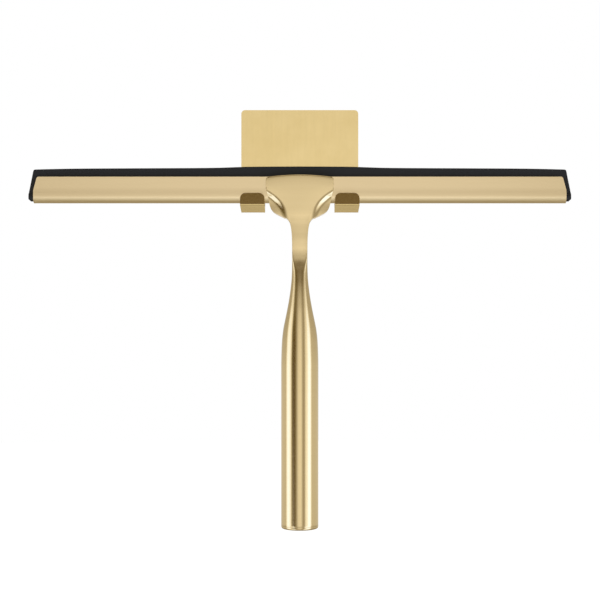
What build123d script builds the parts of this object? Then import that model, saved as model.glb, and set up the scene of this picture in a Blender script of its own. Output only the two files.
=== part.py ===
"""A shower and window squeegee hanging on its bent wall holder.

Millimetres.  +X runs along the blade, -Y faces the user, +Y faces the wall, +Z is up.
The origin is the centre of the back of the adhesive pad, on the wall.
"""

import os
from math import cos, radians, sin, tan

from build123d import *

os.makedirs("parts", exist_ok=True)

# ---- adhesive pad and wall plate -------------------------------------------------
pad_width = 50.0
pad_height = 33.0
pad_thickness = 1.0
pad_corner = 3.0

plate_width = 55.6
plate_height = 39.8
plate_sheet = 1.8
plate_corner = 1.8
plate_back_y = -pad_thickness
plate_face_y = plate_back_y - plate_sheet
clear_depth = 40.0        # reaches through every piece of the squeegee

# ---- the two J-hooks bent from the plate -----------------------------------------
hook_width = 11.3
hook_front_y = -18.9
hook_front_z = -26.3
hook_tip_z = -20.5
ledge_rise = 8.0          # degrees that the ledge climbs away from the wall
tab_lean = 12.0           # degrees that the tab leans back over the ledge
tab_corner = 2.6
fold_radius = 0.5

# ---- squeegee: blade channel -----------------------------------------------------
axis_y = -12.2            # the blade, the neck and the grip share this plane
bulb_wall = 0.7
flange_wall = 1.5         # nearly flush with the bulb
bulb_radius = 2.95
bulb_z = -22.1
channel_top_z = -12.3
flange_gap = 1.0          # from the mid-plane to the inside of each flange
channel_half = 124.65
channel_top_half = 122.9
channel_slant_z = -19.2
channel_corner = 1.0

# ---- squeegee: rubber blade ------------------------------------------------------
rubber_thickness = 1.8
bead_radius = 2.1
rubber_bead_half = 127.0
rubber_top_half = 124.8
rubber_end_z = -9.4
rubber_crown_z = -7.8
rubber_slant_z = -20.3
rubber_corner = 0.8
bead_chamfer = 1.0

# ---- squeegee: head --------------------------------------------------------------
head_half = 15.85
head_depth = 5.5          # from the mid-plane to the front face, and to the back face
lobe_depth = 3.6          # from the mid-plane to where the upright sides end
head_top_z = -11.9
head_arch = 1.1           # how far the top falls from the middle to the corners
head_side_z = -18.0
head_end_z = -34.1
jaw_fit = 0.05            # gap between the head and the channel it grips
jaw_end_z = -32.2         # lower end of the rear jaw, above the neck
jaw_round = 1.6

# ---- squeegee: clamp screws ------------------------------------------------------
screw_pitch = 13.0
screw_z = -27.8
screw_radius = 1.25
screw_head_radius = 2.3
screw_reach = 2.8         # how far each screw bites into the front half of the head
screw_fit = 0.04
hex_radius = 0.85
hex_depth = 0.9
sink_angle = 90.0

# ---- squeegee: neck and grip -----------------------------------------------------
grip_radius = 8.75
grip_top_z = -100.0
grip_end_z = -177.5
grip_wall = 1.6
grip_step = 0.03          # the swept neck ends this much inside the round bar
bore_top_z = -101.0
oval_count = 12           # points that carry each section of the neck
neck_sections = [          # height, half width, half depth
    (-30.0, 4.7, 5.4),
    (-37.0, 4.0, 4.6),
    (-44.0, 3.55, 3.6),
    (-51.0, 3.45, 3.7),
    (-58.0, 3.6, 5.1),
    (-65.0, 4.2, 6.5),
    (-72.0, 5.3, 7.5),
    (-79.0, 6.8, 8.15),
    (-86.0, 8.0, 8.5),
    (-93.0, 8.55, 8.68),
    (grip_top_z, grip_radius - grip_step, grip_radius - grip_step),
]

# ---- squeegee: end cap -----------------------------------------------------------
cap_flange = 1.4
cap_edge = 1.0
cap_spigot = 9.0
cap_fit = 0.03
cap_hollow = 4.0
ring_radius = 0.8
ring_groove = 2.0
ring_height = 4.5         # from the flange to the middle of the ring
ring_z = grip_end_z + cap_flange + ring_height


# ==== adhesive pad ================================================================
with BuildPart() as adhesive_pad:
    with BuildSketch(Plane.XZ):
        RectangleRounded(pad_width, pad_height, pad_corner)
    extrude(amount=pad_thickness)

# ==== wall plate: one bent sheet with two hooks ===================================
rise = tan(radians(ledge_rise))
lean_y = sin(radians(tab_lean))
lean_z = cos(radians(tab_lean))


def ledge_under(y):
    """Height of the ledge's underside at a distance y from the wall."""
    return hook_front_z - (y - hook_front_y) * rise


def ledge_over(y):
    """Height of the ledge's upper side."""
    return ledge_under(y) + plate_sheet / cos(radians(ledge_rise))


tab_length = (hook_tip_z - hook_front_z) / lean_z
tip_outside = (hook_front_y + tab_length * lean_y, hook_tip_z)
tip_inside = (tip_outside[0] + plate_sheet * lean_z, tip_outside[1] - plate_sheet * lean_y)
# where the inside of the tab meets the upper side of the ledge
tab_slope = lean_y / lean_z
inside_corner_z = (
    ledge_over(tip_inside[0]) + rise * tip_inside[1] * tab_slope
) / (1 + rise * tab_slope)
inside_corner_y = tip_inside[0] - (tip_inside[1] - inside_corner_z) * tab_slope
plate_bottom_z = -plate_height / 2
hook_centre = plate_width / 2 - hook_width / 2

with BuildPart() as wall_plate:
    with BuildSketch(Plane.XZ.offset(pad_thickness)) as flat_plate:
        Rectangle(plate_width, plate_height)
        fillet(flat_plate.vertices().group_by(Axis.Y)[-1], plate_corner)
    extrude(amount=plate_sheet)
    for side in (-1, 1):
        with BuildSketch(Plane.YZ.offset(side * hook_centre)) as hook:
            with BuildLine():
                Polyline(
                    (plate_back_y, plate_bottom_z + plate_sheet),
                    (plate_back_y, ledge_under(plate_back_y)),
                    (hook_front_y, hook_front_z),
                    tip_outside,
                    tip_inside,
                    (inside_corner_y, inside_corner_z),
                    (plate_face_y, ledge_over(plate_face_y)),
                    (plate_face_y, plate_bottom_z + plate_sheet),
                    close=True,
                )
            make_face()
            fillet(hook.vertices().group_by(Axis.Y)[0], fold_radius)
            fillet(hook.vertices().sort_by(Axis.X)[0], fold_radius)
        extrude(amount=hook_width / 2, both=True)
    tab_through = Axis((0, 0, 0), (0, lean_z, -lean_y))
    fillet(wall_plate.edges().filter_by(tab_through), tab_corner)

# ==== blade channel: extruded, a round bulb under two flat flanges ================
flange_out = flange_gap + flange_wall
with BuildPart() as blade_channel:
    with BuildSketch(Plane.YZ):
        with Locations((axis_y, bulb_z)):
            Circle(bulb_radius)
        with Locations((axis_y, (channel_top_z + bulb_z) / 2)):
            Rectangle(2 * flange_out, channel_top_z - bulb_z)
        with Locations((axis_y, bulb_z)):
            Circle(bulb_radius - bulb_wall, mode=Mode.SUBTRACT)
        with Locations((axis_y, (channel_top_z + bulb_z) / 2)):
            Rectangle(2 * flange_gap, channel_top_z - bulb_z, mode=Mode.SUBTRACT)
    extrude(amount=channel_half, both=True)
    with BuildSketch(Plane.XZ) as channel_front:
        with BuildLine():
            Polyline(
                (-channel_half, bulb_z - bulb_radius),
                (channel_half, bulb_z - bulb_radius),
                (channel_half, channel_slant_z),
                (channel_top_half, channel_top_z),
                (-channel_top_half, channel_top_z),
                (-channel_half, channel_slant_z),
                close=True,
            )
        make_face()
        fillet(channel_front.vertices().group_by(Axis.Y)[-1], channel_corner)
    extrude(amount=clear_depth, mode=Mode.INTERSECT)

# ==== rubber blade: bead, web and a crowned wiping lip ============================
with BuildPart() as rubber_blade:
    with BuildSketch(Plane.YZ):
        with Locations((axis_y, bulb_z)):
            Circle(bead_radius)
        with Locations((axis_y, (rubber_crown_z + bulb_z) / 2)):
            Rectangle(rubber_thickness, rubber_crown_z - bulb_z)
    extrude(amount=rubber_bead_half, both=True)
    with BuildSketch(Plane.XZ) as rubber_front:
        with BuildLine():
            ThreePointArc(
                (-rubber_top_half, rubber_end_z), (0, rubber_crown_z), (rubber_top_half, rubber_end_z)
            )
            Polyline(
                (rubber_top_half, rubber_end_z),
                (rubber_bead_half, rubber_slant_z),
                (rubber_bead_half, bulb_z - bead_radius + bead_chamfer),
                (rubber_bead_half - bead_chamfer, bulb_z - bead_radius),
                (-rubber_bead_half + bead_chamfer, bulb_z - bead_radius),
                (-rubber_bead_half, bulb_z - bead_radius + bead_chamfer),
                (-rubber_bead_half, rubber_slant_z),
                (-rubber_top_half, rubber_end_z),
            )
        make_face()
        fillet(rubber_front.vertices().group_by(Axis.Y)[-1], rubber_corner)
    extrude(amount=clear_depth, mode=Mode.INTERSECT)


# ==== head outlines, right half, mirrored to the left =============================
def head_outline(flank, bottom_half):
    """Closed head outline: arched top, straight sides, then a curved flank to the neck."""
    corner_z = head_top_z - head_arch
    ThreePointArc((-head_half, corner_z), (0, head_top_z), (head_half, corner_z))
    Line((head_half, corner_z), (head_half, head_side_z))
    Spline((head_half, head_side_z), *flank, (bottom_half, head_end_z))
    Line((bottom_half, head_end_z), (-bottom_half, head_end_z))
    Spline(
        (-bottom_half, head_end_z),
        *[(-x, z) for x, z in reversed(flank)],
        (-head_half, head_side_z),
    )
    Line((-head_half, head_side_z), (-head_half, corner_z))


def oval_points(half_width, half_depth):
    """Points round an oval section, starting on +X."""
    turns = [radians(360 * step / oval_count) for step in range(oval_count)]
    return [(half_width * cos(turn), half_depth * sin(turn)) for turn in turns]


shield_flank = [(12.4, -20.0), (7.4, -24.9), (4.8, -30.0)]
lobe_flank = [(14.6, -24.0), (12.6, -29.0), (7.6, -31.8)]
shield_bottom = 4.2
lobe_bottom = 4.6


# ==== handle: front half of the head, neck and hollow grip ========================
with BuildPart() as handle:
    with BuildSketch(Plane.XZ.offset(-axis_y)):
        with BuildLine():
            head_outline(lobe_flank, lobe_bottom)
        make_face()
    extrude(amount=lobe_depth)
    # the flanks fall from the front face to the upright sides
    with BuildSketch(Plane.XZ.offset(lobe_depth - axis_y)):
        with BuildLine():
            head_outline(lobe_flank, lobe_bottom)
        make_face()
    with BuildSketch(Plane.XZ.offset(head_depth - axis_y)):
        with BuildLine():
            head_outline(shield_flank, shield_bottom)
        make_face()
    loft(ruled=True)
    for height, half_width, half_depth in neck_sections:
        with BuildSketch(Plane((0, axis_y, height))):
            with BuildLine():
                Spline(*oval_points(half_width, half_depth), periodic=True)
            make_face()
    loft()
    with BuildSketch(Plane((0, axis_y, grip_top_z))):
        Circle(grip_radius)
    extrude(amount=grip_end_z + cap_flange - grip_top_z)
    # the channel's seat, open at the top and along the blade
    with BuildSketch(Plane.YZ):
        with Locations((axis_y, bulb_z)):
            Circle(bulb_radius + jaw_fit)
        with Locations((axis_y, (head_top_z + bulb_z) / 2)):
            Rectangle(2 * (flange_out + jaw_fit), head_top_z - bulb_z)
    extrude(amount=head_half, both=True, mode=Mode.SUBTRACT)
    # the rear half of the head is the rear jaw's place
    with BuildSketch(Plane.XZ.offset(-axis_y)):
        with Locations((0, (head_top_z + jaw_end_z) / 2)):
            Rectangle(2 * head_half, head_top_z - jaw_end_z)
    extrude(amount=-2 * head_depth, mode=Mode.SUBTRACT)
    with Locations(Plane((0, axis_y, screw_z), x_dir=(1, 0, 0), z_dir=(0, 1, 0))):
        with GridLocations(screw_pitch, 1, 2, 1):
            Hole(screw_radius + screw_fit, depth=screw_reach + screw_fit)
    with BuildSketch(Plane((0, axis_y, grip_end_z + cap_flange))):
        Circle(grip_radius - grip_wall)
    extrude(amount=bore_top_z - grip_end_z - cap_flange, mode=Mode.SUBTRACT)

# ==== rear jaw: clamps the channel from behind ====================================
rear_y = axis_y + head_depth
rear_plane = Plane((0, rear_y, screw_z), x_dir=(1, 0, 0), z_dir=(0, 1, 0))
with BuildPart() as rear_jaw:
    with BuildSketch(Plane.XZ.offset(-axis_y)):
        with BuildLine():
            head_outline(lobe_flank, lobe_bottom)
        make_face()
        with Locations((0, jaw_end_z - head_depth)):
            Rectangle(2 * head_half, 2 * head_depth, mode=Mode.SUBTRACT)
    extrude(amount=-head_depth)
    fillet(rear_jaw.faces().sort_by(Axis.Y)[-1].edges(), jaw_round)
    with BuildSketch(Plane.YZ):
        with Locations((axis_y, bulb_z)):
            Circle(bulb_radius + jaw_fit)
        with Locations((axis_y, (head_top_z + bulb_z) / 2)):
            Rectangle(2 * (flange_out + jaw_fit), head_top_z - bulb_z)
    extrude(amount=head_half, both=True, mode=Mode.SUBTRACT)
    with Locations(rear_plane):
        with GridLocations(screw_pitch, 1, 2, 1):
            CounterSinkHole(
                screw_radius + screw_fit, screw_head_radius + screw_fit, counter_sink_angle=sink_angle
            )

# ==== jaw screws: two countersunk screws with hexagon sockets =====================
screw_length = head_depth + screw_reach
with BuildPart() as jaw_screws:
    for side in (-1, 1):
        screw_head = (side * screw_pitch / 2, rear_y, screw_z)
        with BuildSketch(Plane(screw_head)):
            with BuildLine():
                Polyline(
                    (0, 0),
                    (screw_head_radius, 0),
                    (screw_radius, screw_radius - screw_head_radius),
                    (screw_radius, -screw_length),
                    (0, -screw_length),
                    close=True,
                )
            make_face()
        revolve(axis=Axis(screw_head, (0, 1, 0)))
        with BuildSketch(Plane(screw_head, x_dir=(1, 0, 0), z_dir=(0, 1, 0))):
            RegularPolygon(hex_radius, 6)
        extrude(amount=-hex_depth, mode=Mode.SUBTRACT)

# ==== end cap and its seal ========================================================
bore_radius = grip_radius - grip_wall
with BuildPart() as grip_end_cap:
    with BuildSketch(Plane((0, axis_y, grip_end_z))):
        Circle(grip_radius)
    extrude(amount=cap_flange)
    fillet(grip_end_cap.edges().group_by(Axis.Z)[0], cap_edge)
    with BuildSketch(Plane((0, axis_y, grip_end_z + cap_flange))):
        Circle(bore_radius - cap_fit)
    extrude(amount=cap_spigot)
    with BuildSketch(Plane((0, axis_y, ring_z - ring_groove / 2))):
        Circle(bore_radius)
        Circle(bore_radius - 2 * ring_radius, mode=Mode.SUBTRACT)
    extrude(amount=ring_groove, mode=Mode.SUBTRACT)
    with BuildSketch(Plane((0, axis_y, grip_end_z + cap_flange + cap_spigot))):
        Circle(cap_hollow)
    extrude(amount=-cap_spigot, mode=Mode.SUBTRACT)

with BuildPart() as end_cap_ring:
    with BuildSketch(Plane.XZ.offset(-axis_y)):
        with Locations((bore_radius - ring_radius, ring_z)):
            Circle(ring_radius)
    revolve(axis=Axis((0, axis_y, ring_z), (0, 0, 1)))

# ==== export ======================================================================
adhesive_pad.part.label = "adhesive_pad"
wall_plate.part.label = "wall_plate"
blade_channel.part.label = "blade_channel"
rubber_blade.part.label = "rubber_blade"
handle.part.label = "handle"
rear_jaw.part.label = "rear_jaw"
jaw_screws.part.label = "jaw_screws"
grip_end_cap.part.label = "grip_end_cap"
end_cap_ring.part.label = "end_cap_ring"
export_step(adhesive_pad.part, "parts/adhesive_pad.step")
export_step(wall_plate.part, "parts/wall_plate.step")
export_step(blade_channel.part, "parts/blade_channel.step")
export_step(rubber_blade.part, "parts/rubber_blade.step")
export_step(handle.part, "parts/handle.step")
export_step(rear_jaw.part, "parts/rear_jaw.step")
export_step(jaw_screws.part, "parts/jaw_screws.step")
export_step(grip_end_cap.part, "parts/grip_end_cap.step")
export_step(end_cap_ring.part, "parts/end_cap_ring.step")
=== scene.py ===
"""Looks of a brushed-gold squeegee hanging on its wall holder.

Everything is in metres, in the CAD frame: +X along the blade, -Y towards the user, +Z up.
Lengths named here are written in millimetres and multiplied by MM where they are used.
"""

import math

import bpy
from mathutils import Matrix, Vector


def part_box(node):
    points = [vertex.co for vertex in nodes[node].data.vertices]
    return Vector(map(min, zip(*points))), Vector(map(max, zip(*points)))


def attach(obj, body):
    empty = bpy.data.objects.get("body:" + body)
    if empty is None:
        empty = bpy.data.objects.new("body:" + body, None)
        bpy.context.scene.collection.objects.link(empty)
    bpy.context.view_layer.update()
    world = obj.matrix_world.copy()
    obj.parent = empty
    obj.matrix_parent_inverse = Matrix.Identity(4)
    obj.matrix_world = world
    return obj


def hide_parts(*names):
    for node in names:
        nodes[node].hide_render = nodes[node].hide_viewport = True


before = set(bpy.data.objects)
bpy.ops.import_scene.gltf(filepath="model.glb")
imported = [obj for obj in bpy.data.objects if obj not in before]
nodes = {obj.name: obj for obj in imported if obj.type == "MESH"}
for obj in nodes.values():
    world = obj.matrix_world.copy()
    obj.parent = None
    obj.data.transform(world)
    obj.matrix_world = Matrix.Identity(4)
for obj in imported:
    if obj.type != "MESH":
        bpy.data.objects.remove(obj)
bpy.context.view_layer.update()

MM = 0.001

# ---- places read from the frame, in millimetres ----------------------------------
channel_low, channel_high = [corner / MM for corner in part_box("blade_channel")]
rubber_low, rubber_high = [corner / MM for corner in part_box("rubber_blade")]
handle_low, handle_high = [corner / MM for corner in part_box("handle")]
cap_low, cap_high = [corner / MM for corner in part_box("grip_end_cap")]
jaw_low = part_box("rear_jaw")[0] / MM

AXIS_Y = (channel_low.y + channel_high.y) / 2
BULB_RADIUS = (channel_high.y - channel_low.y) / 2
BULB_Z = channel_low.z + BULB_RADIUS
GRIP_RADIUS = (cap_high.x - cap_low.x) / 2

# rings along a bar, as shares of its half length: close together at the ends
END_PLACES = [0.99, 0.998, 1.0]
MIDDLE_SHARE = 0.95
MIDDLE_RINGS = 39
ARC_STEPS = 72            # points round the bulb and round the bead
BEVEL_ANGLE = 30          # degrees: flatter edges aren't rounded


# ==== helpers =====================================================================
def new_object(name, points, faces):
    """A smooth mesh object from points in millimetres and faces."""
    mesh = bpy.data.meshes.new(name)
    mesh.from_pydata([(x * MM, y * MM, z * MM) for x, y, z in points], [], faces)
    mesh.update()
    mesh.shade_smooth()
    obj = bpy.data.objects.new(name, mesh)
    bpy.context.scene.collection.objects.link(obj)
    return obj


def sharpen(obj, degrees=35):
    """Marks creases sharper than an angle, so that smooth shading stops there."""
    obj.data.set_sharp_from_angle(angle=math.radians(degrees))


def add_bevel(obj, width):
    """Rounds the sharp edges of a piece by a width in millimetres."""
    bevel = obj.modifiers.new("edge", "BEVEL")
    bevel.width = width * MM
    bevel.segments = 2
    bevel.limit_method = "ANGLE"
    bevel.angle_limit = math.radians(BEVEL_ANGLE)
    bevel.harden_normals = False
    bevel.use_clamp_overlap = True


def curve_through(table, at):
    """Smooth value at a place, from a table of (place, value) whose places rise or fall."""
    rows = table if table[0][0] < table[-1][0] else table[::-1]
    if at <= rows[0][0]:
        return rows[0][1]
    if at >= rows[-1][0]:
        return rows[-1][1]
    spans = [(b[1] - a[1]) / (b[0] - a[0]) for a, b in zip(rows, rows[1:])]
    slopes = [spans[0]]
    for before, after in zip(spans, spans[1:]):
        slopes.append(0.0 if before * after <= 0 else 2 * before * after / (before + after))
    slopes.append(spans[-1])
    index = max(i for i in range(len(rows) - 1) if rows[i][0] <= at)
    width = rows[index + 1][0] - rows[index][0]
    t = (at - rows[index][0]) / width
    return (
        (2 * t**3 - 3 * t**2 + 1) * rows[index][1]
        + (t**3 - 2 * t**2 + t) * width * slopes[index]
        + (3 * t**2 - 2 * t**3) * rows[index + 1][1]
        + (t**3 - t**2) * width * slopes[index + 1]
    )


def steps(start, stop, count):
    """Evenly spaced values from start to stop, both included."""
    return [start + (stop - start) * i / (count - 1) for i in range(count)]


def circle(radius, count):
    """Points evenly round a circle, as (x, y) pairs."""
    turns = [2 * math.pi * i / count for i in range(count)]
    return [(radius * math.cos(turn), radius * math.sin(turn)) for turn in turns]


BAR_PLACES = (
    [-place for place in END_PLACES[::-1]]
    + steps(-MIDDLE_SHARE, MIDDLE_SHARE, MIDDLE_RINGS)
    + END_PLACES
)


def skin_rings(rings):
    """Quads between closed rings of equal size."""
    size = len(rings[0])
    faces = []
    for r in range(len(rings) - 1):
        for i in range(size):
            j = (i + 1) % size
            faces.append((r * size + i, r * size + j, (r + 1) * size + j, (r + 1) * size + i))
    return faces


def strip_ends(rings):
    """Quads that close the first and the last ring, each from its first half to its second."""
    size = len(rings[0])
    faces = []
    for base in (0, (len(rings) - 1) * size):
        for i in range(size // 2 - 1):
            faces.append((base + i, base + i + 1, base + size - 2 - i, base + size - 1 - i))
    return faces


def closed_skin(name, rings):
    """One object from closed rings, with a strip of quads over each end."""
    points = [point for ring in rings for point in ring]
    return new_object(name, points, skin_rings(rings) + strip_ends(rings))


def extruded(profile, half_length, rise):
    """Rings of a bar along X with a (y, z) profile, whose ends and top follow two functions."""
    rings = []
    for place in BAR_PLACES:
        ends = [(place * half_length(z), y, z) for y, z in profile]
        rings.append([(x, y, z + rise(x, z)) for x, y, z in ends])
    return rings


# ==== materials ===================================================================
def new_material(name):
    """A node material, with its tree and its shader."""
    material = bpy.data.materials.new(name)
    material.use_nodes = True
    tree = material.node_tree
    shader = tree.nodes["Principled BSDF"]
    return material, tree, shader


def link(tree, source, target):
    """Joins an output socket to an input socket."""
    tree.links.new(source, target)


def stretched_noise(tree, stretch, detail):
    """Noise in object space, stretched by a scale along each axis."""
    place = tree.nodes.new("ShaderNodeTexCoord")
    mapping = tree.nodes.new("ShaderNodeMapping")
    mapping.inputs["Scale"].default_value = stretch
    noise = tree.nodes.new("ShaderNodeTexNoise")
    noise.inputs["Scale"].default_value = 1.0
    noise.inputs["Detail"].default_value = detail
    noise.inputs["Roughness"].default_value = NOISE_ROUGHNESS
    link(tree, place.outputs["Object"], mapping.inputs["Vector"])
    link(tree, mapping.outputs["Vector"], noise.inputs["Vector"])
    return noise.outputs["Fac"]


def remap(tree, value, low, high, from_low=0.3, from_high=0.7):
    """The value stretched from one range to another."""
    node = tree.nodes.new("ShaderNodeMapRange")
    node.inputs["From Min"].default_value = from_low
    node.inputs["From Max"].default_value = from_high
    node.inputs["To Min"].default_value = low
    node.inputs["To Max"].default_value = high
    link(tree, value, node.inputs["Value"])
    return node.outputs["Result"]


def calculate(tree, operation, first, second=None):
    """One step of arithmetic on numbers or sockets."""
    node = tree.nodes.new("ShaderNodeMath")
    node.operation = operation
    for socket, value in zip(node.inputs, (first, second)):
        if value is None:
            continue
        if isinstance(value, (int, float)):
            socket.default_value = value
        else:
            link(tree, value, socket)
    return node.outputs["Value"]


def mixed_colour(tree, factor, first, second):
    """The first colour where the factor is 0, the second where it is 1."""
    node = tree.nodes.new("ShaderNodeMix")
    node.data_type = "RGBA"
    node.inputs["A"].default_value = (*first, 1.0)
    node.inputs["B"].default_value = (*second, 1.0)
    link(tree, factor, node.inputs["Factor"])
    return node.outputs["Result"]


def painted_highlight(tree, colour, height, half_width):
    """A painted highlight: the colour made brighter round one height of the piece."""
    place = tree.nodes.new("ShaderNodeTexCoord")
    split = tree.nodes.new("ShaderNodeSeparateXYZ")
    link(tree, place.outputs["Object"], split.inputs["Vector"])
    away = calculate(tree, "ABSOLUTE", calculate(tree, "SUBTRACT", split.outputs["Z"], height * MM))
    share = remap(tree, away, 1.0, 0.0, 0.0, half_width * MM)
    node = tree.nodes.new("ShaderNodeMix")
    node.data_type = "RGBA"
    node.inputs["B"].default_value = (*HIGHLIGHT_GOLD, 1.0)
    link(tree, colour, node.inputs["A"])
    link(tree, share, node.inputs["Factor"])
    return node.outputs["Result"]


def bump(tree, height, strength, distance):
    """Relief from a height, over a distance in millimetres."""
    node = tree.nodes.new("ShaderNodeBump")
    node.inputs["Strength"].default_value = strength
    node.inputs["Distance"].default_value = distance * MM
    link(tree, height, node.inputs["Height"])
    return node.outputs["Normal"]


def brushed_metal(
    name,
    lines,
    streaks,
    light,
    dark,
    rough,
    relief,
    anisotropy,
    tangent_axis,
    turn=0.0,
    highlight_band=None,
    rim=(1.0, 1.0, 1.0),
):
    """Satin brushed metal: one noise draws the brush lines, the other changes the tone.

    A height and a half width, in millimetres, say where a highlight is painted into the colour, making the
    metal brighter round that height.
    The rim is the tint of what it mirrors at a glancing angle.
    """
    material, tree, shader = new_material(name)
    fine = stretched_noise(tree, lines, LINE_DETAIL)
    broad = stretched_noise(tree, streaks, STREAK_DETAIL)
    colour = mixed_colour(tree, remap(tree, broad, 0.0, 1.0), dark, light)
    if highlight_band:
        colour = painted_highlight(tree, colour, *highlight_band)
    link(tree, colour, shader.inputs["Base Color"])
    link(tree, remap(tree, fine, rough[0], rough[1]), shader.inputs["Roughness"])
    link(tree, bump(tree, fine, relief, BRUSH_DEPTH), shader.inputs["Normal"])
    shader.inputs["Metallic"].default_value = 1.0
    shader.inputs["Specular Tint"].default_value = (*rim, 1.0)
    shader.inputs["Anisotropic"].default_value = anisotropy
    shader.inputs["Anisotropic Rotation"].default_value = turn
    tangent = tree.nodes.new("ShaderNodeTangent")
    tangent.direction_type = "RADIAL"
    tangent.axis = tangent_axis
    link(tree, tangent.outputs["Tangent"], shader.inputs["Tangent"])
    return material


NOISE_ROUGHNESS = 0.6
LINE_DETAIL = 2.0
STREAK_DETAIL = 4.0
ALONG = 40.0              # cycles per metre along a brush line
ALONG_BROAD = 10.0        # and along a broad streak
ACROSS_FINE = 3500.0      # and across the finest lines
ACROSS_BROAD = 500.0      # and across the broad ones
CLOUDS = 50.0             # and through the faint clouds in the plate's tone
BRUSH_DEPTH = 0.01        # millimetres
GRAIN_DEPTH = 0.05
GRAIN_SHADE = 0.8         # the darkest grain's share of the colour
GRAIN_SPREAD = 0.05       # and how far its roughness varies
# colour of the highlight painted round the channel's bulb
HIGHLIGHT_GOLD = (1.0, 0.83, 0.53)

plate_gold = brushed_metal(
    "plate_gold",
    (ACROSS_FINE, ACROSS_FINE, ALONG),
    (CLOUDS, CLOUDS, CLOUDS),
    light=(0.872, 0.676, 0.330),
    dark=(0.806, 0.612, 0.278),
    rough=(0.22, 0.26),
    relief=0.05,
    anisotropy=0.4,
    tangent_axis="Z",
    rim=(1.0, 0.92, 0.70),
)
channel_gold = brushed_metal(
    "channel_gold",
    (ALONG, ACROSS_FINE, ACROSS_FINE),
    (ALONG_BROAD, ACROSS_BROAD, ACROSS_BROAD),
    light=(0.870, 0.690, 0.412),
    dark=(0.855, 0.675, 0.398),
    rough=(0.28, 0.295),
    relief=0.005,
    anisotropy=0.78,
    tangent_axis="X",
    # a highlight painted round this height of the bulb, just below its axis
    highlight_band=(BULB_Z - 1.0, 1.5),
)
handle_gold = brushed_metal(
    "handle_gold",
    (ALONG, ALONG, ACROSS_FINE / 2),
    (ALONG_BROAD, ALONG_BROAD, ACROSS_BROAD),
    light=(0.720, 0.560, 0.302),
    dark=(0.710, 0.550, 0.292),
    rough=(0.17, 0.19),
    relief=0.006,
    anisotropy=0.75,
    tangent_axis="Z",
    turn=0.25,
)


def matte(name, colour, rough, grain, strength, shine=0.5):
    """Rubber or foam: a fine grain in colour, roughness and bump."""
    material, tree, shader = new_material(name)
    noise = stretched_noise(tree, (grain, grain, grain), STREAK_DETAIL)
    darker = tuple(GRAIN_SHADE * part for part in colour)
    mottled = mixed_colour(tree, remap(tree, noise, 0.0, 1.0), darker, colour)
    link(tree, mottled, shader.inputs["Base Color"])
    link(tree, remap(tree, noise, rough - GRAIN_SPREAD, rough + GRAIN_SPREAD), shader.inputs["Roughness"])
    link(tree, bump(tree, noise, strength, GRAIN_DEPTH), shader.inputs["Normal"])
    shader.inputs["Specular IOR Level"].default_value = shine
    return material


blade_rubber = matte(
    "blade_rubber", (0.0135, 0.0137, 0.0145), rough=0.55, grain=2500.0, strength=0.06, shine=0.35
)
seal_rubber = matte("seal_rubber", (0.02, 0.02, 0.02), rough=0.5, grain=2000.0, strength=0.1)
foam = matte("foam", (0.70, 0.70, 0.67), rough=0.9, grain=1500.0, strength=0.8)
screw_steel = brushed_metal(
    "screw_steel",
    (2500.0, 2500.0, 2500.0),
    (600.0, 600.0, 600.0),
    light=(0.62, 0.60, 0.57),
    dark=(0.50, 0.48, 0.46),
    rough=(0.26, 0.32),
    relief=0.05,
    anisotropy=0.0,
    tangent_axis="Y",
)


def dress(obj, material):
    """Gives a piece one material in every slot."""
    obj.data.materials.clear()
    obj.data.materials.append(material)


# ==== CAD nodes that keep their shape =============================================
for node, material, edge in (
    ("wall_plate", plate_gold, 0.14),
    ("adhesive_pad", foam, 0.12),
    ("rear_jaw", handle_gold, 0.10),
    ("jaw_screws", screw_steel, 0.05),
    ("end_cap_ring", seal_rubber, 0.0),
):
    dress(nodes[node], material)
    if edge:
        add_bevel(nodes[node], edge)

# ==== blade channel ===============================================================
FLANGE_OUT = 2.5          # the flange that the head's seat fits
FLANGE_IN = 1.0
FLANGE_FACE = 2.8         # the flange as it looks, all but flush with the bulb
BULB_WALL = 0.7
TOP_DROP = 0.35           # how far the flange as it looks stops below the CAD one
CHANNEL_TOP = channel_high.z - TOP_DROP
CHANNEL_HALF = channel_high.x
CHANNEL_SLANT = 1.75
CHANNEL_TOP_HALF = CHANNEL_HALF - CHANNEL_SLANT
SLANT_Z = -19.2
CHANNEL_CORNER = 1.0
FLANGE_EDGE = 0.12        # radius of the flange's top edges
CORNER_ROWS = [FLANGE_EDGE, 0.3, 0.6, CHANNEL_CORNER]
FLANGE_ROWS = 2.0         # depth at which the evenly spaced rows start
NECK_GAP = 0.3            # and how far above the bulb they end
NECK_ROWS = 6             # how many they are
EDGE_ROWS = 5             # and how many go over the flange's top edge
CREASE_TOP = 4.2          # above the bulb's axis: where the flange starts to run out
CREASE = 4.1              # and the height over which it reaches the bulb's front


def channel_half_length(z):
    """Half the channel's length at a height: upright by the bulb, slanted by the flange."""
    if z <= SLANT_Z:
        return CHANNEL_HALF
    rise = (z - SLANT_Z) / (CHANNEL_TOP - SLANT_Z)
    half = CHANNEL_HALF + (CHANNEL_TOP_HALF - CHANNEL_HALF) * rise
    depth = CHANNEL_TOP - z
    if depth < CHANNEL_CORNER:
        half -= CHANNEL_CORNER - math.sqrt(CHANNEL_CORNER**2 - (CHANNEL_CORNER - depth) ** 2)
    return half


def bulb_arc(radius, flange):
    """Arc about the bulb's axis from one flange, round the bottom, to the other."""
    start = math.asin(flange / radius)
    return [
        (AXIS_Y - radius * math.sin(turn), BULB_Z + radius * math.cos(turn))
        for turn in steps(start, 2 * math.pi - start, ARC_STEPS)
    ]


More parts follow.
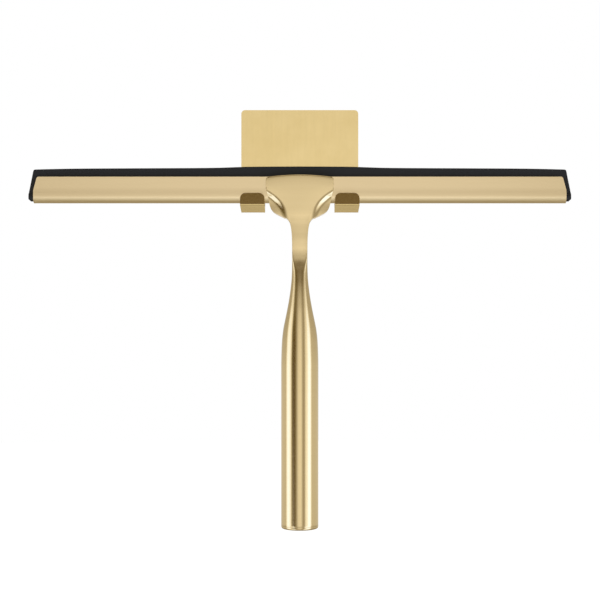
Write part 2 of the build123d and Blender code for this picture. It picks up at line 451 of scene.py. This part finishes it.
def eased_front(points):
    """The same arc with its upper front corner drawn out into a soft slope up to the flange."""
    top = points[0][1] - BULB_Z
    eased = []
    for y, z in points:
        up = z - BULB_Z
        if y < AXIS_Y and up > 0:
            up *= CREASE_TOP / top
            share = min(1.0, (CREASE_TOP - up) / CREASE)
            y = AXIS_Y - FLANGE_FACE - (BULB_RADIUS - FLANGE_FACE) * share * share * (3 - 2 * share)
        eased.append((y, BULB_Z + up))
    return eased


def channel_profile():
    """Outside from the front flange's top round the bulb to the back one's, then the inside."""
    outer = eased_front(bulb_arc(BULB_RADIUS, FLANGE_FACE))
    inner = bulb_arc(BULB_RADIUS - BULB_WALL, FLANGE_IN)
    heights = [CHANNEL_TOP - depth for depth in CORNER_ROWS]
    heights += steps(CHANNEL_TOP - FLANGE_ROWS, outer[0][1] + NECK_GAP, NECK_ROWS)
    lip = (FLANGE_FACE - FLANGE_IN) / 2
    middle = (FLANGE_FACE + FLANGE_IN) / 2
    front_edge = [
        (
            AXIS_Y - middle - lip * math.cos(turn),
            CHANNEL_TOP - FLANGE_EDGE + FLANGE_EDGE * math.sin(turn),
        )
        for turn in steps(math.pi, 0.0, EDGE_ROWS + 2)[1:-1]
    ]
    back_edge = [(2 * AXIS_Y - y, z) for y, z in front_edge]
    outside = [(AXIS_Y - FLANGE_FACE, z) for z in heights]
    inside = [(AXIS_Y - FLANGE_IN, z) for z in heights]
    back_outside = [(AXIS_Y + FLANGE_FACE, z) for z in heights]
    back_inside = [(AXIS_Y + FLANGE_IN, z) for z in heights]
    outer_skin = front_edge + outside + outer + back_outside[::-1] + back_edge
    return outer_skin + back_inside + inner[::-1] + inside[::-1]


def level_top(x, z):
    """No rise: the channel's top is straight."""
    return 0.0


channel = closed_skin("channel_sheet", extruded(channel_profile(), channel_half_length, level_top))
dress(channel, channel_gold)
sharpen(channel)
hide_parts("blade_channel")
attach(channel, "squeegee")

# ==== rubber blade ================================================================
WEB = 0.9                 # half the thickness of the web and the lip
BEAD_RADIUS = 2.1
LIP_EDGE = 0.22
LIP_ROW = 0.5             # first row below the lip's top
BEAD_GAP = 0.2            # last row above the bead
WEB_ROWS = 14             # rows from the one to the other
LIP_ROWS = 5              # rows round the lip's edge
RUBBER_HALF = rubber_high.x
RUBBER_SLANT = 2.2
RUBBER_END_Z = -9.4
RUBBER_CROWN = rubber_high.z - RUBBER_END_Z
RUBBER_SLANT_Z = -20.3
RUBBER_CORNER = 0.8
BEAD_CHAMFER = 1.0
# distance from the middle of the blade, share of the crown: a low hump, then a long slope
LIP_RISE = [
    (0, 1.0), (22, 0.94), (30, 0.8), (38, 0.63), (46, 0.56), (80, 0.46), (104, 0.38), (118, 0.22), (130, 0.0),
]


def rubber_half_length(z):
    """Half the rubber's length: chamfered under the bead, upright, then slanted to the lip."""
    if z < rubber_low.z + BEAD_CHAMFER:
        return RUBBER_HALF - BEAD_CHAMFER + (z - rubber_low.z)
    if z <= RUBBER_SLANT_Z:
        return RUBBER_HALF
    half = RUBBER_HALF - RUBBER_SLANT * (z - RUBBER_SLANT_Z) / (RUBBER_END_Z - RUBBER_SLANT_Z)
    depth = max(RUBBER_END_Z - z, 0.0)
    if depth < RUBBER_CORNER:
        half -= RUBBER_CORNER - math.sqrt(RUBBER_CORNER**2 - (RUBBER_CORNER - depth) ** 2)
    return half


def rubber_crown(x, z):
    """Rise of the rubber: the lip stands tallest in the middle of the blade."""
    share = max(0.0, (z - CHANNEL_TOP) / (RUBBER_END_Z - CHANNEL_TOP))
    return RUBBER_CROWN * share * curve_through(LIP_RISE, abs(x))


def rubber_profile():
    """From the middle of the lip down its front, round the bead and up its back."""
    corner = [
        (AXIS_Y - WEB + LIP_EDGE * (1 - math.cos(turn)), RUBBER_END_Z - LIP_EDGE * (1 - math.sin(turn)))
        for turn in steps(math.pi / 2, 0.0, LIP_ROWS)
    ]
    web_heights = steps(RUBBER_END_Z - LIP_ROW, BULB_Z + BEAD_RADIUS + BEAD_GAP, WEB_ROWS)
    front = corner + [(AXIS_Y - WEB, z) for z in web_heights]
    back = [(2 * AXIS_Y - y, z) for y, z in front][::-1]
    return front + bulb_arc(BEAD_RADIUS, WEB) + back


rubber = closed_skin("wiper_rubber", extruded(rubber_profile(), rubber_half_length, rubber_crown))
dress(rubber, blade_rubber)
sharpen(rubber, degrees=50)
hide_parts("rubber_blade")
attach(rubber, "blade")

# ==== handle: head, neck and grip as one skin =====================================
HEAD_HALF = handle_high.x
HEAD_DEPTH = 5.5
HEAD_TOP = handle_high.z
HEAD_ARCH = 1.1
TOP_CORNER = 1.8
TOP_EDGE = 0.5
FACE_CROWN = 0.25
NECK_CROWN = 0.12
SADDLE_END = jaw_low.z     # where the rear jaw ends and the neck becomes a full oval
JAW_FIT = 0.05
ARCH_END = -17.0           # the top's arch fades out here
LEAST_FLANK = 0.02         # least width of the flank
LEAN_STEP = 0.1            # the face's lean is measured this far up and down
SEAT_STEP = 0.02           # rings this close above and below the jaw's end
GRIP_END = handle_low.z
SEAM = 0.06                # rounding at the seam between grip and end cap
TOP_RINGS = 8              # rings over the head's rounded top
SEAM_RINGS = 4             # and round the seam

# height, half width of the flat front face
SHIELD = [
    (HEAD_TOP, 15.65), (-17.3, 15.65), (-18.3, 14.8), (-20.0, 12.4), (-22.0, 9.9),
    (-24.9, 7.35), (-28.0, 5.65), (-31.9, 4.5), (-36.0, 4.05), (-44.0, 3.45), (-52.0, 3.40),
    (-60.0, 3.5), (-80.0, 5.5), (-100.0, 7.0), (-178.0, 7.0),
]
# height, half width of the outline
OUTLINE = [
    (HEAD_TOP, HEAD_HALF), (-18.0, HEAD_HALF), (-19.5, 15.5), (-22.5, 14.75), (-26.0, 14.05),
    (-28.0, 13.3), (-29.4, 12.2), (-30.4, 10.6), (-31.2, 8.7), (-32.0, 6.9), (-32.8, 5.6),
    (-34.5, 4.6), (-37.5, 4.0), (-41.3, 3.7), (-47.0, 3.6), (-52.6, 3.6), (-56.3, 3.65),
    (-60.1, 3.8), (-63.9, 4.15), (-69.5, 4.9), (-73.2, 5.55), (-77.0, 6.3), (-80.8, 7.1),
    (-84.5, 7.8), (-90.1, 8.4), (-95.8, 8.65), (-101.0, GRIP_RADIUS), (-178.0, GRIP_RADIUS),
]
# height, depth of the front from the mid-plane
DEPTH = [
    (HEAD_TOP, 5.22), (-14.0, 5.36), (-17.0, 5.46), (-20.0, HEAD_DEPTH), (-28.0, HEAD_DEPTH),
    (-30.0, 5.46), (-34.0, 5.08), (-38.0, 4.5), (-43.0, 3.76), (-47.0, 3.43), (-51.0, 3.75),
    (-55.0, 4.5), (-59.0, 5.35), (-64.0, 6.33), (-70.0, 7.25), (-76.0, 7.95), (-82.0, 8.35),
    (-90.0, 8.63), (-100.0, GRIP_RADIUS), (-178.0, GRIP_RADIUS),
]
# height, how far the section has turned from a faced plate into an oval
ROUNDNESS = [
    (HEAD_TOP, 0.0), (-47.0, 0.0), (-51.0, 0.15), (-54.5, 0.50), (-58.0, 0.75), (-63.0, 0.84), (-72.0, 0.9),
    (-82.0, 0.96), (-92.0, 1.0), (-178.0, 1.0),
]
# height, how far the flank has turned from an upright side with a rounded edge into a scoop
SCOOP = [(HEAD_TOP, 0.0), (-17.4, 0.0), (-18.6, 1.0), (-33.5, 1.0), (-36.0, 0.0), (-178.0, 0.0)]
# distance from the face's edge, fall: a rolled edge, a steep wedge, a nearly flat lobe
SCOOP_FALL = [
    (0.0, 0.0), (0.4, 0.02), (0.8, 0.08), (1.2, 0.17), (1.6, 0.30), (2.0, 0.48), (2.4, 0.68), (2.8, 0.87),
    (3.2, 1.03), (3.6, 1.15), (4.2, 1.26), (5.0, 1.37), (6.5, 1.55), (8.0, 1.72), (12.0, 2.15),
]
# height, share of that fall that is left
WEDGE = [
    (HEAD_TOP, 1.0), (-22.5, 1.0), (-25.0, 0.92), (-28.0, 0.66), (-31.0, 0.42), (-34.0, 0.3), (-178.0, 0.3),
]
EDGE_FALL = 0.22          # fall of the rounded edge above an upright side
EDGE_POWER = 3.0          # and its roundness
MIN_SIDE = 0.15           # least height of an upright side

# from height, to height, rings: close together where the outline turns fast
RING_SPANS = [
    (HEAD_TOP - TOP_CORNER, ARCH_END, 6), (-17.3, -18.6, 6), (-18.9, -27.0, 28),
    (-27.25, SADDLE_END + SEAT_STEP, 22), (SADDLE_END - SEAT_STEP, -35.0, 12), (-35.5, -60.0, 40),
    (-60.7, -101.0, 50), (-104.0, GRIP_END + 1.0, 24),
]
# places of the points across the face, the flank and the upright side below it
FACE_SHARES = [0.0, 0.12, 0.24, 0.36, 0.47, 0.57, 0.66, 0.74, 0.81, 0.87, 0.92, 0.96, 0.985, 1.0]
FLANK_SHARES = steps(0.04, 1.0, 25)
WALL_SHARES = [0.5, 1.0]


def seat_depth(z):
    """Depth of the channel's seat in front of the mid-plane at a height."""
    reach = BULB_RADIUS + JAW_FIT
    above = z - BULB_Z
    flange = FLANGE_OUT + JAW_FIT
    if above >= math.sqrt(reach**2 - flange**2):
        return flange
    if above > -reach:
        return math.sqrt(reach**2 - above**2)
    return 0.0


def flank_point(share, width, steepness, scoop, wedge):
    """Way out and fall from the face's edge, at a share of the flank's width."""
    turn = share * math.pi / 2
    upright = (
        width * math.sin(turn) ** (2 / EDGE_POWER),
        EDGE_FALL * (1 - max(math.cos(turn), 0.0) ** (2 / EDGE_POWER)),
    )
    scooped = (share * width, wedge * curve_through(SCOOP_FALL, share * width * steepness))
    return [a + scoop * (b - a) for a, b in zip(upright, scooped)]


def half_section(z, inset=0.0, round_off=0.0):
    """Front half of one section, from the middle to the seat, as (x, depth) pairs."""
    width = curve_through(OUTLINE, z) - round_off
    depth = curve_through(DEPTH, z) - inset
    face = min(curve_through(SHIELD, z) - round_off, width - LEAST_FLANK)
    scoop = curve_through(SCOOP, z)
    wedge = curve_through(WEDGE, z)
    turned = curve_through(ROUNDNESS, z)
    seat = seat_depth(z)
    crown = NECK_CROWN + (FACE_CROWN - NECK_CROWN) * min(1.0, face / HEAD_HALF)
    section = [(face * share, depth - crown * share**2) for share in FACE_SHARES]
    edge_depth = depth - crown
    lean = curve_through(SHIELD, z + LEAN_STEP) - curve_through(SHIELD, z - LEAN_STEP)
    steepness = 1 / math.hypot(1.0, lean / (2 * LEAN_STEP))
    for share in FLANK_SHARES:
        out, fall = flank_point(share, width - face, steepness, scoop, wedge)
        section.append((face + out, edge_depth - fall))
    low = section[-1][1]
    section += [(width, low + (seat - low) * share) for share in WALL_SHARES]
    # the same points on an arch over upright sides
    arch = min(width, depth - MIN_SIDE)
    last = len(FACE_SHARES) + len(FLANK_SHARES) - 1
    rounded = []
    for i, (x, d) in enumerate(section):
        turn = math.pi / 2 * min(1.0, i / last)
        round_x = width * math.sin(turn)
        round_d = depth - arch * (1 - math.cos(turn))
        if i > last:
            round_d *= 1 - WALL_SHARES[i - last - 1]
        rounded.append((x + turned * (round_x - x), d + turned * (round_d - d)))
    return rounded


def handle_ring(z, inset=0.0, round_off=0.0):
    """A closed section: front from left to right, then the back from right to left."""
    half = half_section(z, inset, round_off)
    front = [(-x, d) for x, d in half[:0:-1]] + half
    if z > SADDLE_END:
        back = [(x, seat_depth(z)) for x, d in front[::-1]]
    else:
        back = [(x, -d) for x, d in front[::-1]]
    arch = HEAD_ARCH * max(0.0, min(1.0, (z - ARCH_END) / (HEAD_TOP - ARCH_END)))
    return [(x, AXIS_Y - d, z - arch * (x / HEAD_HALF) ** 2) for x, d in front + back]


def handle_rings():
    """Rings of the whole handle: over the head's rounded top, down to the rounded seam."""
    rings = []
    for turn in steps(math.pi / 2, 0.0, TOP_RINGS + 1)[:-1]:
        drop = TOP_CORNER * (1 - math.sin(turn))
        inset = 0.0
        if drop < TOP_EDGE:
            inset = TOP_EDGE - math.sqrt(TOP_EDGE**2 - (TOP_EDGE - drop) ** 2)
        rings.append(handle_ring(HEAD_TOP - drop, inset, TOP_CORNER * (1 - math.cos(turn))))
    for start, stop, count in RING_SPANS:
        rings += [handle_ring(z) for z in steps(start, stop, count)]
    for turn in steps(0.0, math.pi / 2, SEAM_RINGS):
        shrink = SEAM * (1 - math.cos(turn))
        rings.append(handle_ring(GRIP_END + SEAM * (1 - math.sin(turn)), shrink, shrink))
    return rings


handle = closed_skin("handle_skin", handle_rings())
dress(handle, handle_gold)
sharpen(handle, degrees=50)
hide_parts("handle")
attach(handle, "squeegee")

# ==== end cap =====================================================================
CAP_EDGE = 1.0            # radius of the rounded rim
CAP_EDGE_RINGS = 9
CAP_HEIGHT = 1.4
CAP_INSIDE = 6.9          # radius of the flat hidden in the grip
CAP_RADII = [7.0, 5.0, 3.0, 1.5, 0.5]
CAP_POINTS = 96


def make_cap():
    """A shallow round plug face with a rounded rim, turned about the grip's axis."""
    cap_top = cap_low.z + CAP_HEIGHT
    outline = [(CAP_INSIDE, cap_top), (GRIP_RADIUS - SEAM, cap_top), (GRIP_RADIUS, cap_top - SEAM)]
    outline += [
        (GRIP_RADIUS - CAP_EDGE * (1 - math.cos(turn)), cap_low.z + CAP_EDGE * (1 - math.sin(turn)))
        for turn in steps(0.0, math.pi / 2, CAP_EDGE_RINGS)
    ]
    outline += [(radius, cap_low.z) for radius in CAP_RADII]
    rings = [[(x, AXIS_Y + y, z) for x, y in circle(radius, CAP_POINTS)] for radius, z in outline]
    points = [point for ring in rings for point in ring]
    faces = skin_rings(rings)
    faces.append(tuple(range(CAP_POINTS))[::-1])
    faces.append(tuple(range(len(points) - CAP_POINTS, len(points))))
    return new_object("cap_face", points, faces)


cap = make_cap()
dress(cap, handle_gold)
sharpen(cap, degrees=40)
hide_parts("grip_end_cap")
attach(cap, "squeegee")

# ==== floor =======================================================================
FLOOR_Z = -0.42           # metres
FLOOR_RADIUS = 3.0
FLOOR_POINTS = 64


def make_floor():
    """A white disc far under the object, which the metal doesn't mirror."""
    mesh = bpy.data.meshes.new("floor")
    ring = [(x, y, FLOOR_Z) for x, y in circle(FLOOR_RADIUS, FLOOR_POINTS)]
    mesh.from_pydata(ring, [], [tuple(range(FLOOR_POINTS))])
    floor = bpy.data.objects.new("floor", mesh)
    bpy.context.scene.collection.objects.link(floor)
    material = bpy.data.materials.new("floor")
    material.use_nodes = True
    shader = material.node_tree.nodes["Principled BSDF"]
    shader.inputs["Base Color"].default_value = (0.0, 0.0, 0.0, 1.0)
    shader.inputs["Emission Color"].default_value = (1.0, 1.0, 1.0, 1.0)
    shader.inputs["Emission Strength"].default_value = 1.0
    floor.data.materials.append(material)
    floor.visible_glossy = False
    floor.visible_diffuse = False
    floor.visible_shadow = False
    return floor


make_floor()

# ==== studio light ================================================================
# Everything the metal mirrors. Angles are degrees round the object from the user's side,
# to the right, and degrees above the horizon. First comes one large soft source.
SOFT_ROUND = [
    (-180, 0.70), (-150, 0.56), (-100, 0.62), (-60, 0.70), (-30, 0.80), (-14, 0.91), (-4, 1.0), (4, 1.04),
    (14, 0.93), (30, 0.80), (60, 0.68), (100, 0.62), (150, 0.56), (180, 0.70),
]
SOFT_HEIGHT = [
    (-90, 0.50), (-70, 0.50), (-50, 0.58), (-32, 0.70), (-22, 0.74), (-14, 0.82), (-9, 0.98), (-7, 1.0),
    (90, 1.0),
]
# what is added to that round the whole horizon
LEVEL_HEIGHT = [
    (-90, 0.0), (-18, 0.0), (-10, 0.14), (-6, 0.23), (-2, 0.16), (2, -0.08), (3.5, 0.0), (10, -0.08),
    (90, -0.08),
]
# a dark panel above the camera
PANEL_ROUND = [(-180, 0.2), (-62, 0.2), (-42, 0.8), (-25, 1.0), (20, 1.0), (42, 0.75), (62, 0.2), (180, 0.2)]
PANEL_HEIGHT = [
    (-90, 0.0), (9, 0.0), (15, 0.20), (20, 0.48), (24, 0.82), (28, 0.98), (30, 0.98), (35, 0.76), (44, 0.72),
    (52, 0.4), (60, 0.1), (66, 0.0), (90, 0.0),
]
# two upright dark flags beside the camera
FLAG_ROUND = [
    (-180, 0.0), (-55, 0.0), (-48, 0.82), (-38, 1.0), (-28, 0.88), (-19, 0.50), (-9, 0.0), (9, 0.0),
    (17, 0.45), (26, 0.60), (33, 0.20), (38, 0.0), (180, 0.0),
]
FLAG_HEIGHT = [
    (-90, 0.2), (-35, 0.40), (-20, 0.65), (-12, 0.92), (-8, 1.0), (0, 0.95), (10, 0.72), (18, 0.5), (90, 0.4),
]
# two tall soft boxes beside the object
BOX_ROUND = [
    (-180, 0.0), (-92, 0.0), (-87, 0.35), (-80, 0.66), (-68, 0.66), (-59, 0.36), (-52, 0.0), (32, 0.0),
    (38, 0.15), (47, 0.24), (53, 0.72), (66, 0.80), (71, 0.45), (77, 0.0), (180, 0.0),
]
BOX_HEIGHT = [
    (-90, 0.1), (-45, 0.4), (-20, 0.9), (-8, 1.0), (2, 0.85), (9, 0.55), (15, 0.25), (22, 0.0), (90, 0.0),
]
BOX_LIGHT = 2.8
# round soft boxes low in front: place, and the radii between which they fade
LOW_BOXES = [(-36, -36), (-43, -25), (36, -36), (43, -25)]
LOW_BOX_RADII = (0, 16)
LOW_BOX_LIGHT = 1.4
DIM_LIGHT = 0.025         # what reaches every direction
COOL_START = 1.25         # brightness above which light turns cool
# colour, what it loses where the studio is dark, its share of the light above that brightness
TINTS = [("Red", 0.0, 0.20), ("Green", 0.05, 0.43), ("Blue", 0.17, 1.0)]


def graph(tree, angle, rows):
    """A value that changes with an angle, from (degrees, value) rows."""
    node = tree.nodes.new("ShaderNodeFloatCurve")
    curve = node.mapping.curves[0]
    low, high = rows[0][0], rows[-1][0]
    node.mapping.use_clip = False
    while len(curve.points) > 2:
        curve.points.remove(curve.points[1])
    for i, (degrees, value) in enumerate(rows):
        place = (degrees - low) / (high - low)
        if i in (0, len(rows) - 1):
            curve.points[0 if i == 0 else -1].location = (place, value)
        else:
            curve.points.new(place, value)
    for point in curve.points:
        point.handle_type = "VECTOR"
    node.mapping.update()
    share = tree.nodes.new("ShaderNodeMapRange")
    share.inputs["From Min"].default_value = math.radians(low)
    share.inputs["From Max"].default_value = math.radians(high)
    link(tree, angle, share.inputs["Value"])
    link(tree, share.outputs["Result"], node.inputs["Value"])
    return node.outputs["Value"]


def low_box(tree, direction, round_angle, high_angle):
    """A round soft box that fades out from its middle."""
    turn, rise = math.radians(round_angle), math.radians(high_angle)
    towards = tree.nodes.new("ShaderNodeVectorMath")
    towards.operation = "DOT_PRODUCT"
    towards.inputs[1].default_value = (
        math.sin(turn) * math.cos(rise),
        -math.cos(turn) * math.cos(rise),
        math.sin(rise),
    )
    link(tree, direction, towards.inputs[0])
    inner, outer = (math.cos(math.radians(radius)) for radius in LOW_BOX_RADII)
    glow = tree.nodes.new("ShaderNodeMapRange")
    glow.interpolation_type = "SMOOTHSTEP"
    glow.inputs["From Min"].default_value = outer
    glow.inputs["From Max"].default_value = inner
    glow.inputs["To Max"].default_value = LOW_BOX_LIGHT
    link(tree, towards.outputs["Value"], glow.inputs["Value"])
    return glow.outputs["Result"]


def studio_level(tree, direction):
    """Brightness of the studio in a direction."""
    split = tree.nodes.new("ShaderNodeSeparateXYZ")
    link(tree, direction, split.inputs["Vector"])
    x, y, z = (split.outputs[name] for name in "XYZ")
    compass = calculate(tree, "ARCTAN2", x, calculate(tree, "MULTIPLY", y, -1.0))
    height = calculate(tree, "ARCSINE", z)
    soft = calculate(tree, "MULTIPLY", graph(tree, compass, SOFT_ROUND), graph(tree, height, SOFT_HEIGHT))
    soft = calculate(tree, "ADD", soft, graph(tree, height, LEVEL_HEIGHT))
    for around, upright in ((PANEL_ROUND, PANEL_HEIGHT), (FLAG_ROUND, FLAG_HEIGHT)):
        shade = calculate(tree, "MULTIPLY", graph(tree, compass, around), graph(tree, height, upright))
        soft = calculate(tree, "MULTIPLY", soft, calculate(tree, "SUBTRACT", 1.0, shade))
    box = calculate(tree, "MULTIPLY", graph(tree, compass, BOX_ROUND), graph(tree, height, BOX_HEIGHT))
    level = calculate(tree, "ADD", soft, calculate(tree, "MULTIPLY", box, BOX_LIGHT))
    for place in LOW_BOXES:
        level = calculate(tree, "ADD", level, low_box(tree, direction, *place))
    return calculate(tree, "ADD", level, DIM_LIGHT)


def studio_colour(tree, level):
    """Dim light is warm, light brighter than white is cool."""
    dim = calculate(tree, "MINIMUM", level, 1.0)
    plain = calculate(tree, "SUBTRACT", calculate(tree, "MINIMUM", level, COOL_START), dim)
    over = calculate(tree, "MAXIMUM", calculate(tree, "SUBTRACT", level, COOL_START), 0.0)
    colour = tree.nodes.new("ShaderNodeCombineColor")
    for name, loss, share in TINTS:
        left = calculate(tree, "SUBTRACT", calculate(tree, "MULTIPLY", dim, 1.0 + loss), loss)
        warm = calculate(tree, "ADD", calculate(tree, "MAXIMUM", left, 0.0), plain)
        value = calculate(tree, "ADD", warm, calculate(tree, "MULTIPLY", over, share))
        link(tree, value, colour.inputs[name])
    return colour.outputs["Color"]


def make_world():
    """The studio for everything but the camera, which sees white behind the object."""
    world = bpy.data.worlds.new("studio")
    bpy.context.scene.world = world
    world.use_nodes = True
    tree = world.node_tree
    tree.nodes.clear()
    place = tree.nodes.new("ShaderNodeTexCoord")
    level = studio_level(tree, place.outputs["Generated"])
    studio = tree.nodes.new("ShaderNodeBackground")
    link(tree, studio_colour(tree, level), studio.inputs["Color"])
    white = tree.nodes.new("ShaderNodeBackground")
    white.inputs["Color"].default_value = (1.0, 1.0, 1.0, 1.0)
    path = tree.nodes.new("ShaderNodeLightPath")
    pick = tree.nodes.new("ShaderNodeMixShader")
    link(tree, path.outputs["Is Camera Ray"], pick.inputs["Fac"])
    link(tree, studio.outputs["Background"], pick.inputs[1])
    link(tree, white.outputs["Background"], pick.inputs[2])
    output = tree.nodes.new("ShaderNodeOutputWorld")
    link(tree, pick.outputs["Shader"], output.inputs["Surface"])


make_world()
bpy.context.scene.view_settings.view_transform = "Standard"

# ==== camera ======================================================================
VIEW_X = 0.1              # it looks straight along +Y past this place
VIEW_Z = -70.4
DISTANCE = 700.0
FOCAL = 89.5
SENSOR = 36.0
FAR = 50.0                # metres
camera_data = bpy.data.cameras.new("camera")
camera_data.sensor_width = SENSOR
camera_data.lens = FOCAL
camera_data.clip_end = FAR
camera = bpy.data.objects.new("camera", camera_data)
camera.location = (VIEW_X * MM, (AXIS_Y - DISTANCE) * MM, VIEW_Z * MM)
camera.rotation_euler = (math.radians(90), 0, 0)
bpy.context.scene.collection.objects.link(camera)
bpy.context.scene.camera = camera
